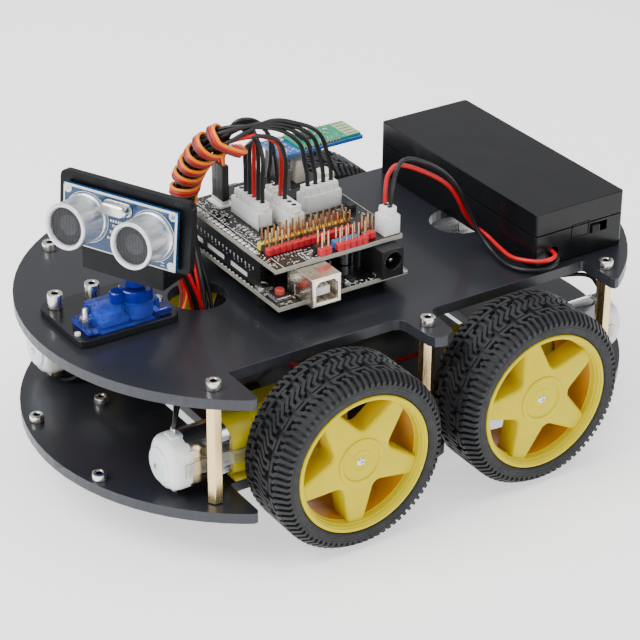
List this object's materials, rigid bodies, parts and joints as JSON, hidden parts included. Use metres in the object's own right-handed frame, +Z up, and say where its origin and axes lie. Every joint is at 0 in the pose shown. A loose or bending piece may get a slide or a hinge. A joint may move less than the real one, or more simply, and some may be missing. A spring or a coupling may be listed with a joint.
{
  "type": "four wheel robot chassis",
  "caption": "Robot car kit: two rounded acrylic decks on brass standoffs, geared motor wheels, controller boards, battery box and a panning distance sensor.",
  "frame": {"origin": "middle of the footprint, on the ground under the tyres", "axes": "+Z up, the robot drives towards -Y, +X is its left side"},
  "size_m": [0.166, 0.2316, 0.1278],
  "materials": {
    "acrylic_black": "satin black acrylic sheet with polished edges",
    "brass": "bright turned hexagon",
    "yellow_plastic": "moulded, slightly glossy",
    "motor_metal": null,
    "black_plastic": "moulded",
    "white_plastic": "moulded nylon",
    "tyre_rubber": "block tread, dull",
    "board_black": "black solder mask with white legend",
    "nickel_steel": "nickel plated",
    "button_red": "moulded",
    "board_green": "green solder mask",
    "board_blue": "blue solder mask with white legend",
    "box_black": "smooth moulded ABS",
    "cell_sleeve": null,
    "servo_blue": "translucent",
    "sensor_can": "satin aluminium can",
    "wire_red": "soft insulation",
    "wire_black": "soft insulation"
  },
  "bodies": {
    "chassis": {"upper_deck": "acrylic_black", "lower_deck": "acrylic_black", "standoff_fl": "brass", "standoff_fr": "brass", "standoff_ml": "brass", "standoff_mr": "brass", "standoff_rl": "brass", "standoff_rr": "brass", "gearbox_fl": "yellow_plastic", "motor_fl": "motor_metal", "motor_bracket_fl": "black_plastic", "gearbox_fr": "yellow_plastic", "motor_fr": "motor_metal", "motor_bracket_fr": "black_plastic", "gearbox_rl": "yellow_plastic", "motor_rl": "motor_metal", "motor_bracket_rl": "black_plastic", "gearbox_rr": "yellow_plastic", "motor_rr": "motor_metal", "motor_bracket_rr": "black_plastic", "controller_board": "board_black", "usb_socket": "nickel_steel", "power_jack": "black_plastic", "digital_header": "black_plastic", "power_header": "black_plastic", "shield_board": "board_black", "signal_header": "black_plastic", "motor_connector_a": "white_plastic", "motor_connector_c": "white_plastic", "battery_plug": "white_plastic", "servo_plug": "black_plastic", "radio_module": "board_green", "battery_case": "box_black", "battery_cell_a": "cell_sleeve", "battery_cell_b": "cell_sleeve", "servo_plate": "acrylic_black", "servo_case": "servo_blue", "battery_lead_red": "wire_red", "battery_lead_black": "wire_black", "wire_bundle": "wire_black"},
    "wheel_fl": {"wheel_rim_fl": "yellow_plastic", "tyre_fl": "tyre_rubber", "output_shaft_fl": "white_plastic"},
    "wheel_fr": {"wheel_rim_fr": "yellow_plastic", "tyre_fr": "tyre_rubber", "output_shaft_fr": "white_plastic"},
    "wheel_rl": {"wheel_rim_rl": "yellow_plastic", "tyre_rl": "tyre_rubber", "output_shaft_rl": "white_plastic"},
    "wheel_rr": {"wheel_rim_rr": "yellow_plastic", "tyre_rr": "tyre_rubber", "output_shaft_rr": "white_plastic"},
    "sensor_head": {"servo_horn": "servo_blue", "sensor_bracket": "acrylic_black", "sonar_board": "board_blue", "sonar_transmitter": "sensor_can", "sonar_receiver": "sensor_can"},
    "reset": {"reset_button": "button_red"},
    "power_switch": {"battery_switch": "black_plastic"},
    "lid": {"battery_lid": "box_black"}
  },
  "joints": [
    {"name": "wheel_fl_spin", "type": "hinge", "parent": "chassis", "child": "wheel_fl", "pos_m": [0.0699, -0.0377, 0.0335], "axis": [1, 0, 0], "continuous": true},
    {"name": "wheel_fr_spin", "type": "hinge", "parent": "chassis", "child": "wheel_fr", "pos_m": [-0.0699, -0.0377, 0.0335], "axis": [1, 0, 0], "continuous": true},
    {"name": "wheel_rl_spin", "type": "hinge", "parent": "chassis", "child": "wheel_rl", "pos_m": [0.0699, 0.0385, 0.0335], "axis": [1, 0, 0], "continuous": true},
    {"name": "wheel_rr_spin", "type": "hinge", "parent": "chassis", "child": "wheel_rr", "pos_m": [-0.0699, 0.0385, 0.0335], "axis": [1, 0, 0], "continuous": true},
    {"name": "sensor_pan", "type": "hinge", "parent": "chassis", "child": "sensor_head", "pos_m": [0.0056, -0.0809, 0.0788], "axis": [0, 0, 1], "range_deg": [-116, 64]},
    {"name": "reset_press", "type": "slide", "parent": "chassis", "child": "reset", "axis": [0, 0, -1], "range_m": [0, 0.0003], "stiffness_N_per_m": 2000},
    {"name": "power_switch_slide", "type": "slide", "parent": "chassis", "child": "power_switch", "axis": [0, 1, 0], "range_m": [0, 0.0036]},
    {"name": "lid_lift", "type": "slide", "parent": "chassis", "child": "lid", "axis": [0, 0, 1], "range_m": [0, 0.03]}
  ]
}
